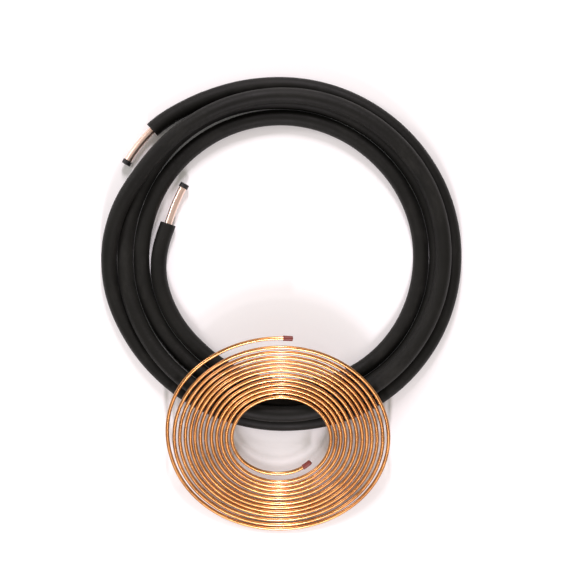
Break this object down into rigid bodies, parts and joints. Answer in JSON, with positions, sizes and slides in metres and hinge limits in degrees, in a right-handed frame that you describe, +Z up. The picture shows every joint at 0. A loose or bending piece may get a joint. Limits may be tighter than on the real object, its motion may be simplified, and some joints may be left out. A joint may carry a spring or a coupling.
{
  "type": "mini split line set",
  "caption": "Coiled air-conditioner line set: a foam-insulated suction line wound in a ring, and a bare copper liquid line wound as a flat coil leaning on it, all four pipe ends capped.",
  "frame": {"origin": "on the floor, at the middle of the outline that both coils make together", "axes": "+Z up, +Y from the liquid coil towards the insulated coil, +X to the right as the picture shows them"},
  "size_m": [0.9074, 1.1492, 0.1329],
  "materials": {
    "foam": "closed-cell elastomer foam, dull black with a slight skin sheen",
    "copper": "bright drawn soft copper",
    "black_cap": "soft black vinyl",
    "red_cap": "soft dark red vinyl"
  },
  "bodies": {
    "root": {"foam_insulation": "foam", "suction_line": "copper", "suction_cap_inner": "black_cap", "suction_cap_outer": "black_cap", "liquid_line": "copper", "liquid_cap_inner": "red_cap", "liquid_cap_outer": "red_cap"}
  },
  "joints": []
}
